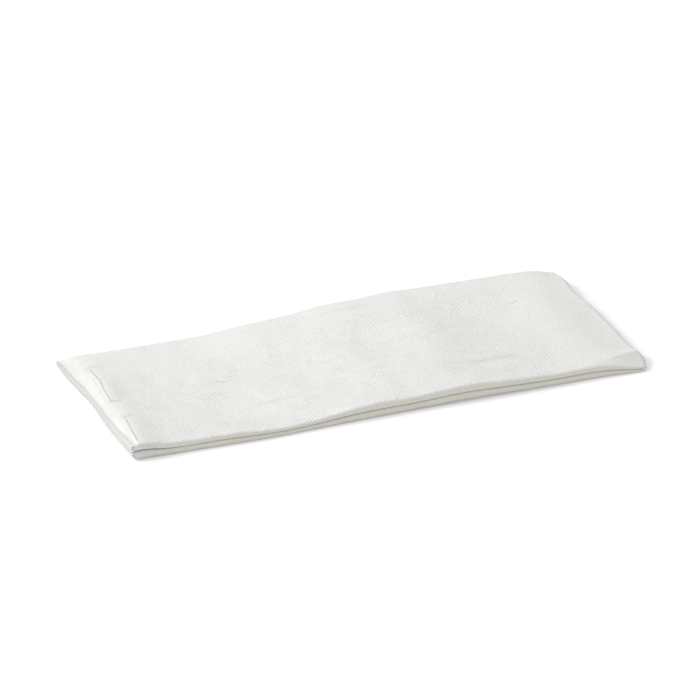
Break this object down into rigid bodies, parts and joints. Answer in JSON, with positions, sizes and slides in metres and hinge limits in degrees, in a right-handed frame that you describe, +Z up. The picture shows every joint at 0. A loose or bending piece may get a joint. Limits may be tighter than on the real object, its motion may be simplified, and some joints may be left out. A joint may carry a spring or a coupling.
{
  "type": "folded paper table napkin",
  "caption": "Soft embossed tissue napkin folded to a long flat rectangle, with rounded folds along its front and one end and its layers open at the other end.",
  "frame": {"origin": "centre of the folded napkin's underside, on the surface it lies on", "axes": "+X along the length to the last fold, -X the open end, -Y the folded front, +Z up through the layers"},
  "size_m": [0.216, 0.095, 0.0043],
  "materials": {
    "tissue": "soft matt white tissue with a fine dot emboss"
  },
  "bodies": {
    "root": {"folded_napkin": "tissue"}
  },
  "joints": []
}
